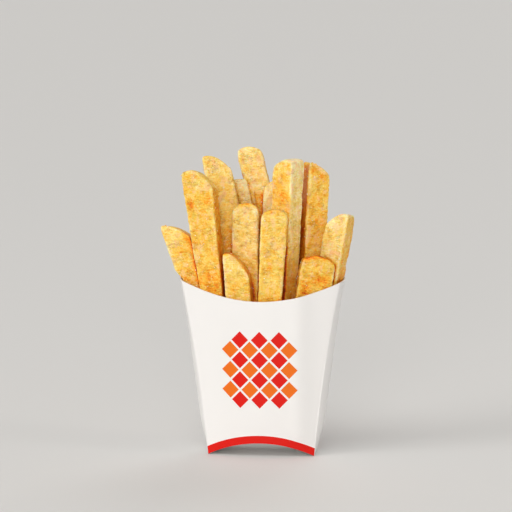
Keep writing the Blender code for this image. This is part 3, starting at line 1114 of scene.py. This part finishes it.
    def _colour(self, number: int, fry: Fry, body: np.ndarray, normal: np.ndarray, base: np.ndarray,
                length: float) -> tuple[np.ndarray, np.ndarray]:
        """How brown and how olive each point is."""
        look = fry.look
        seed = 500 + number * 10
        sides = normal[:, :2] / np.maximum(1e-6, np.linalg.norm(normal[:, :2], axis=1))[:, None]
        toast_and_shade = (look.front * np.maximum(0, -sides[:, 1]) ** 2
                 + look.back * np.maximum(0, sides[:, 1]) ** 2
                 + look.right * np.maximum(0, sides[:, 0]) ** 2
                 + look.left * np.maximum(0, -sides[:, 0]) ** 2)
        toast_and_shade = toast_and_shade + (look.end - toast_and_shade) * np.clip(normal[:, 2], 0, 1) ** 2
        gap_x = fry.width / 2 - np.abs(base[:, 0])
        gap_y = fry.thickness / 2 - np.abs(base[:, 1])
        patchy = 0.6 + 0.8 * lattice_noise(body / 5.0, seed)
        corner = np.exp(-(gap_x ** 2 + gap_y ** 2) / 0.9)
        toast_and_shade = toast_and_shade + look.edge * corner * np.clip(patchy, 0, 2)
        # Painted shade: a brown line along the front right-hand edge, where the fry meets the one beside it.
        seam = np.exp(-((fry.width / 2 - base[:, 0]) / self.seam_width) ** 2)
        seam = seam * smooth_share(-base[:, 1], -0.5, 4.5)
        toast_and_shade = toast_and_shade + look.seam * seam * np.clip(0.7 + 0.3 * patchy, 0, 1.2)
        below = length - body[:, 2]
        rim = np.exp(-((below - 0.8) / 1.0) ** 2)
        toast_and_shade = toast_and_shade + look.rim * rim * np.clip(patchy, 0.2, 2)
        toast_and_shade = toast_and_shade - 0.06 * np.exp(-(below / 9.0) ** 2)
        toast_and_shade = toast_and_shade + 0.10 * layered_noise(body / 6.0, seed + 1, 2)
        blotch = smooth_share(lattice_noise(body / 7.0, seed + 3), 0.45, 0.85)
        toast_and_shade = toast_and_shade + 0.18 * blotch
        # Browner in the grooves of the folds and a little paler elsewhere: partly the skin's own colour,
        # partly painted shade in the grooves.
        toast_and_shade = toast_and_shade + self.fold_browning_and_shade * look.wrinkles * (self._folds(number, body) - 0.22)
        for spot in look.spots:
            reach = ((body[:, 0] - spot.across) ** 2 + (below - spot.below_tip) ** 2) / spot.radius ** 2
            toast_and_shade = toast_and_shade + spot.amount * np.exp(-reach) * (normal[:, 1] < 0.2)
        olive = look.olive * smooth_share(lattice_noise(body / 6.0, seed + 5), -0.5, 0.6)
        return toast_and_shade, olive

    def _bend(self, fry: Fry, body: np.ndarray, length: float) -> np.ndarray:
        """Slant the cut end, narrow it, and bow the fry."""
        height = body[:, 2]
        near_cut = np.clip(1 - (length - height) / self.cut_length, 0, 1)
        near_tip = np.clip(1 - (length - height) / self.tip_length, 0, 1)
        narrowed = 1 - (1 - fry.tip_share) * near_tip ** 2
        tapered = 1 - fry.taper * (1 - height / length)
        right = body[:, 0] / fry.width
        back = body[:, 1] / fry.thickness
        tilt = fry.slant * right + fry.rake * back - fry.dome * 4 * right * right
        bow = fry.bow * np.sin(math.pi * height / length)
        across = body[:, 0] * narrowed * tapered + bow
        return np.column_stack((across, body[:, 1] * narrowed, height + tilt * near_cut))

    @staticmethod
    def _place(fry: Fry, body: np.ndarray, foot: np.ndarray, tip: np.ndarray) -> np.ndarray:
        """Turn the fry about its length and stand it in the carton."""
        angle = math.radians(fry.turn)
        turned = body.copy()
        turned[:, 0] = body[:, 0] * math.cos(angle) - body[:, 1] * math.sin(angle)
        turned[:, 1] = body[:, 0] * math.sin(angle) + body[:, 1] * math.cos(angle)
        return turned @ FryShaper._axes(foot, tip) + foot

    @staticmethod
    def _axes(foot: np.ndarray, tip: np.ndarray) -> np.ndarray:
        """Directions across a fry, through it and along it, one row each."""
        along = (tip - foot) / np.linalg.norm(tip - foot)
        across = np.array((1.0, 0.0, 0.0)) - along * along[0]
        across /= np.linalg.norm(across)
        return np.stack((across, np.cross(along, across), along))


@dataclass
class FryRow:
    """One row of fries as a piece."""

    name: str
    fries: Sequence[Fry]
    first_number: int
    shaper: FryShaper
    axis: Vector
    material: bpy.types.Material
    others: Sequence[Fry]

    def build(self) -> bpy.types.Object:
        """Make the row's piece.

        Returns:
            The finished object.
        """
        points: list[np.ndarray] = []
        faces: list[tuple[int, ...]] = []
        toast_and_shade: list[np.ndarray] = []
        olive: list[np.ndarray] = []
        start = 0
        for place, fry in enumerate(self.fries):
            surface = self.shaper.shape(self.first_number + place, fry, self.others)
            points.append(surface.points)
            faces += [tuple(corner + start for corner in face) for face in surface.faces]
            toast_and_shade.append(surface.toast_and_shade)
            olive.append(surface.olive)
            start += len(surface.points)
        placed = np.concatenate(points) * MM + np.array(self.axis)
        piece = new_piece(self.name, placed, faces)
        set_numbers(piece.data, "toast_and_shade", np.concatenate(toast_and_shade))
        set_numbers(piece.data, "olive", np.concatenate(olive))
        piece.data.materials.append(self.material)
        piece.data.shade_smooth()
        return piece


@dataclass
class Core:
    """What lies under the fries that show: a closed body that fills the carton up to near the rim."""

    form: CartonForm
    axis: Vector
    material: bpy.types.Material
    inset: float = 1.0
    lift: float = 2.2
    top: float = 68.0
    hump: float = 8.0
    cells_across: int = 60
    cells_along: int = 24
    cells_up: int = 10
    lumps: float = 2.2

    def build(self) -> bpy.types.Object:
        """Make the core's piece.

        Returns:
            The finished object.
        """
        mesh = bmesh.new()
        self._grid(mesh, self.cells_across, self.cells_up, lambda a, b: self._wall(a, b, -1))
        self._grid(mesh, self.cells_across, self.cells_up, lambda a, b: self._wall(a, b, 1))
        self._grid(mesh, self.cells_along, self.cells_up, lambda a, b: self._flank(a, b, -1))
        self._grid(mesh, self.cells_along, self.cells_up, lambda a, b: self._flank(a, b, 1))
        self._grid(mesh, self.cells_across, self.cells_along, lambda a, b: self._deck(a, b, False))
        self._grid(mesh, self.cells_across, self.cells_along, lambda a, b: self._deck(a, b, True))
        bmesh.ops.remove_doubles(mesh, verts=mesh.verts, dist=0.05)
        bmesh.ops.recalc_face_normals(mesh, faces=mesh.faces)
        data = bpy.data.meshes.new("fries_core")
        mesh.to_mesh(data)
        mesh.free()
        points = coordinates(data)
        # Browner than the fries above it: painted shade for the deep gaps among them.
        set_numbers(data, "toast_and_shade", 0.72 + 0.2 * layered_noise(points / 5.0, 77, 2))
        set_numbers(data, "olive", np.zeros(len(points)))
        data.transform(Matrix.Translation(self.axis) @ Matrix.Scale(MM, 4))
        data.materials.append(self.material)
        data.shade_smooth()
        return show("fries_core", data)

    @staticmethod
    def _grid(mesh: bmesh.types.BMesh, cells: int, rows: int,
              place: Callable[[float, float], Vector]) -> None:
        """Add a grid whose two coordinates, each from -1 to 1, are put in place."""
        for vert in bmesh.ops.create_grid(mesh, x_segments=cells, y_segments=rows, size=1)["verts"]:
            vert.co = place(vert.co.x, vert.co.y)

    def _edge(self, across: float, height: float, side: int) -> Vector:
        """Point on a face of the core."""
        share = height / self.form.corner_height
        out = self.form.half_depth(share, across) - self.inset
        return Vector((across * (self.form.half_width(share) - self.inset), side * out, height))

    def _wall(self, across: float, up: float, side: int) -> Vector:
        """Point of the core's front or back."""
        low = self.form.bottom_edge(across) + self.lift
        return self._edge(across, low + (self.top - low) * (up + 1) / 2, side)

    def _flank(self, along: float, up: float, side: int) -> Vector:
        """Point of the core's left or right side."""
        height = self.lift + (self.top - self.lift) * (up + 1) / 2
        share = height / self.form.corner_height
        out = float(self.form.half_width(share, along)) - self.inset
        return Vector((side * out, along * (self.form.half_depth(share) - self.inset), height))

    def _deck(self, across: float, along: float, upper: bool) -> Vector:
        """Point of the core's underside or of its lumpy top."""
        height = self.top if upper else self.form.bottom_edge(across) + self.lift
        edge = self._edge(across, height, 1)
        calm = (1 - across * across) * (1 - along * along)
        out = across * float(self.form.side_swell(edge.z / self.form.corner_height)) * (1 - along * along)
        point = Vector((edge.x + out, along * edge.y, edge.z))
        if upper:
            cells = np.array([[point.x / 6.0, point.y / 6.0, 0.0]])
            lump = self.lumps * float(layered_noise(cells, 31, 2)[0])
            point.z += self.hump * calm + lump * math.sqrt(max(0.0, calm))
        return point


# Salt and crumbs

class GrainKind(Enum):
    """What is scattered over the fries."""

    SALT = "salt_grains"
    CRUMB = "potato_crumbs"


@dataclass(frozen=True)
class Sprinkle:
    """Grains scattered over the fries by Geometry Nodes; sizes in millimetres."""

    kind: GrainKind
    material: bpy.types.Material
    smallest: float
    largest: float
    for_square_centimetre: float
    lowest: float
    seed: int

    def _grain(self, sheet: NodeSheet) -> bpy.types.NodeSocket:
        """One grain, a millimetre across."""
        if self.kind is GrainKind.SALT:
            return sheet.node("GeometryNodeMeshCube", {}, {"Size": (MM, MM, MM)}).outputs[0]
        ball = sheet.node("GeometryNodeMeshIcoSphere", {}, {"Radius": MM / 2, "Subdivisions": 2}).outputs[0]
        rough = sheet.node(
            "ShaderNodeTexNoise", {"noise_dimensions": "3D"}, {"Scale": 1.6 / MM, "Detail": 1.0})
        place = sheet.node("GeometryNodeInputPosition", {}, {}).outputs[0]
        size = Number(sheet, rough.outputs[0]) * 1.6 - 0.8
        push = sheet.node(
            "ShaderNodeVectorMath", {"operation": "SCALE"}, {0: place, "Scale": size}).outputs[0]
        return sheet.node("GeometryNodeSetPosition", {}, {"Geometry": ball, "Offset": push}).outputs[0]

    def _tree(self) -> tuple[bpy.types.NodeTree, dict[str, str]]:
        """The node tree, and the identifiers of its named inputs."""
        tree = bpy.data.node_groups.new(self.kind.value, "GeometryNodeTree")
        sheet = NodeSheet(tree)
        named = {"Surface": "NodeSocketGeometry", "Smallest": "NodeSocketFloat", "Largest": "NodeSocketFloat",
                 "Density": "NodeSocketFloat", "Lowest": "NodeSocketFloat", "Seed": "NodeSocketInt"}
        found = {}
        for name, kind in named.items():
            found[name] = tree.interface.new_socket(name, in_out="INPUT", socket_type=kind).identifier
        tree.interface.new_socket("Grains", in_out="OUTPUT", socket_type="NodeSocketGeometry")
        given = sheet.node("NodeGroupInput", {}, {}).outputs

        place = sheet.node("GeometryNodeInputPosition", {}, {}).outputs[0]
        height = Number(sheet, sheet.node("ShaderNodeSeparateXYZ", {}, {0: place}).outputs["Z"])
        high_enough = height.above(given["Lowest"])
        points = sheet.node(
            "GeometryNodeDistributePointsOnFaces", {"distribute_method": "RANDOM"},
            {"Mesh": given["Surface"], "Selection": high_enough, "Density": given["Density"],
             "Seed": given["Seed"]}).outputs["Points"]
        turn = sheet.node(
            "FunctionNodeRandomValue", {"data_type": "FLOAT_VECTOR"},
            {0: (0, 0, 0), 1: (math.tau, math.tau, math.tau), "Seed": given["Seed"]}).outputs[0]
        low, high = [
            sheet.node("ShaderNodeCombineXYZ", {}, {axis: given[end] for axis in range(3)}).outputs[0]
            for end in ("Smallest", "Largest")]
        size = sheet.node(
            "FunctionNodeRandomValue", {"data_type": "FLOAT_VECTOR"},
            {0: low, 1: high, "Seed": given["Seed"]}).outputs[0]
        spread = sheet.node(
            "GeometryNodeInstanceOnPoints", {},
            {"Points": points, "Instance": self._grain(sheet), "Rotation": turn, "Scale": size}).outputs[0]
        real = sheet.node("GeometryNodeRealizeInstances", {}, {0: spread}).outputs[0]
        painted = sheet.node(
            "GeometryNodeSetMaterial", {}, {"Geometry": real, "Material": self.material}).outputs[0]
        sheet.node("NodeGroupOutput", {}, {0: painted})
        return tree, found

    def build(self, rows: Sequence[bpy.types.Object]) -> bpy.types.Object:
        """Scatter the grains over some rows of fries.

        Args:
            rows: The pieces that catch the grains.

        Returns:
            The finished object, grains only.
        """
        joined = bmesh.new()
        for row in rows:
            joined.from_mesh(row.data)
        data = bpy.data.meshes.new(self.kind.value)
        joined.to_mesh(data)
        joined.free()
        piece = show(self.kind.value, data)
        tree, found = self._tree()
        scatter = piece.modifiers.new("scatter", "NODES")
        scatter.node_group = tree
        scatter[found["Smallest"]] = self.smallest
        scatter[found["Largest"]] = self.largest
        scatter[found["Density"]] = self.for_square_centimetre * SQUARE_CENTIMETRES
        scatter[found["Lowest"]] = self.lowest * MM
        scatter[found["Seed"]] = self.seed
        plain_mesh(piece)
        return piece


# Studio

@dataclass
class Studio:
    """Floor, lights and the camera at the photograph's place."""

    foot: Vector
    azimuth: float = 5.75
    elevation: float = 8.75
    distance: float = 1.5
    metres_a_pixel: float = 0.4845e-3
    foot_pixel: tuple[float, float] = (262.9, 451.0)
    picture: int = 512
    sensor: float = 36.0
    softness: float = 30.0
    floor_half: float = 6.0
    aim_height: float = 0.08
    daylight: tuple[float, float, float] = (1.0, 0.985, 0.965)
    surround: float = 0.38

    def build(self) -> None:
        """Set everything up."""
        self._floor()
        self._lights()
        self._camera()
        bpy.context.scene.view_settings.view_transform = "Standard"

    def _floor(self) -> None:
        """A plain pale floor."""
        half = self.floor_half
        corners = np.array(((-half, -half, 0), (half, -half, 0), (half, half, 0), (-half, half, 0)))
        floor = new_piece("floor", corners, [(0, 1, 2, 3)])
        paint = Paint("pale_floor")
        paint.set(Base_Color=(0.74, 0.73, 0.715, 1.0), Roughness=0.7, Specular_IOR_Level=0.2)
        floor.data.materials.append(paint.material)

    def _area(self, name: str, azimuth: float, elevation: float, distance: float,
              size: tuple[float, float], power: float, colour: tuple[float, float, float]) -> None:
        """Add a soft box that looks at the carton."""
        data = bpy.data.lights.new(name, "AREA")
        data.shape = "RECTANGLE"
        data.size, data.size_y = size
        data.energy = power
        data.color = colour
        lamp = show(name, data)
        target = self.foot + Vector((0, 0, self.aim_height))
        away = self._away(azimuth, elevation)
        lamp.location = target + away * distance
        lamp.rotation_euler = (-away).to_track_quat("-Z", "Y").to_euler()

    def _sky(self, name: str, azimuth: float, elevation: float, strength: float) -> None:
        """Add a wide, far light that falls evenly on everything."""
        data = bpy.data.lights.new(name, "SUN")
        data.angle = math.radians(self.softness)
        data.energy = strength
        data.color = self.daylight
        lamp = show(name, data)
        lamp.rotation_euler = (-self._away(azimuth, elevation)).to_track_quat("-Z", "Y").to_euler()

    @staticmethod
    def _away(azimuth: float, elevation: float) -> Vector:
        """Direction from the carton to a light; azimuth 0 is the front, positive to the right."""
        turn = math.radians(azimuth)
        rise = math.radians(elevation)
        return Vector((math.sin(turn) * math.cos(rise), -math.cos(turn) * math.cos(rise), math.sin(rise)))

    def _lights(self) -> None:
        """Wide light from the left, the front, above and behind, with a narrow box at each side."""
        self._sky("key", -58, 24, 0.85)
        self._sky("front", 2, 10, 1.2)
        self._sky("top", -15, 60, 0.6)
        self._sky("back", 165, 45, 0.45)
        self._area("left_strip", -66, 12, 1.1, (0.3, 0.9), 1.2, (1.0, 0.99, 0.97))
        self._area("right_strip", 76, 10, 1.1, (0.12, 0.8), 2.0, (1.0, 0.98, 0.96))
        world = bpy.data.worlds.new("studio")
        bpy.context.scene.world = world
        world.use_nodes = True
        background = world.node_tree.nodes["Background"].inputs
        background["Color"].default_value = (1.0, 0.99, 0.97, 1.0)
        background["Strength"].default_value = self.surround

    def _camera(self) -> None:
        """A long lens at the photograph's viewing angle."""
        azimuth = math.radians(self.azimuth)
        elevation = math.radians(self.elevation)
        right = Vector((math.cos(azimuth), math.sin(azimuth), 0))
        forward = Vector((-math.sin(azimuth) * math.cos(elevation), math.cos(azimuth) * math.cos(elevation),
                          -math.sin(elevation)))
        up = right.cross(forward)
        middle = self.picture / 2
        aim = (self.foot + right * (middle - self.foot_pixel[0]) * self.metres_a_pixel
               + up * (self.foot_pixel[1] - middle) * self.metres_a_pixel)
        data = bpy.data.cameras.new("camera")
        data.sensor_width = self.sensor
        data.lens = self.sensor * self.distance / (self.picture * self.metres_a_pixel)
        data.clip_start = 0.01
        camera = show("camera", data)
        camera.location = aim - forward * self.distance
        camera.rotation_euler = forward.to_track_quat("-Z", "Y").to_euler()
        bpy.context.scene.camera = camera


def report(piece: bpy.types.Object) -> None:
    """Log a piece's name and size."""
    triangles = sum(len(face.vertices) - 2 for face in piece.data.polygons)
    log.info("%s: %d triangles", piece.name, triangles)


def main() -> None:
    """Build the carton, the fries, the grains and the studio."""
    logging.basicConfig(level=logging.INFO, format="%(name)s: %(message)s")
    low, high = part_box("carton")
    axis = Vector(((low.x + high.x) / 2, (low.y + high.y) / 2, 0.0))
    form = CartonForm()

    carton = Carton(form, axis).build()
    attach(carton, BODY)
    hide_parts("carton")
    report(carton)

    potato = PotatoFinish().material()
    shaper = FryShaper(form)
    core = Core(form, axis, potato).build()
    rows = []
    number = 1
    for name, fries in ROWS.items():
        rows.append(FryRow(name, fries, number, shaper, axis, potato, LONG_FRIES).build())
        number += len(fries)
    for piece in [core, *rows]:
        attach(piece, BODY)
        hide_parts("fries")
        report(piece)

    salt = GrainFinish("table_salt", srgb(250, 248, 242), srgb(236, 228, 214), 0.28).material()
    crumb = GrainFinish("crumbled_potato", srgb(250, 212, 130), srgb(232, 170, 76), 0.6).material()
    for sprinkle in (Sprinkle(GrainKind.SALT, salt, 0.14, 0.5, 1.3, 78.0, 4),
                     Sprinkle(GrainKind.CRUMB, crumb, 0.4, 1.1, 0.35, 80.0, 9)):
        piece = sprinkle.build(rows)
        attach(piece, BODY)
        report(piece)

    Studio(axis).build()


if __name__ == "__main__":
    main()
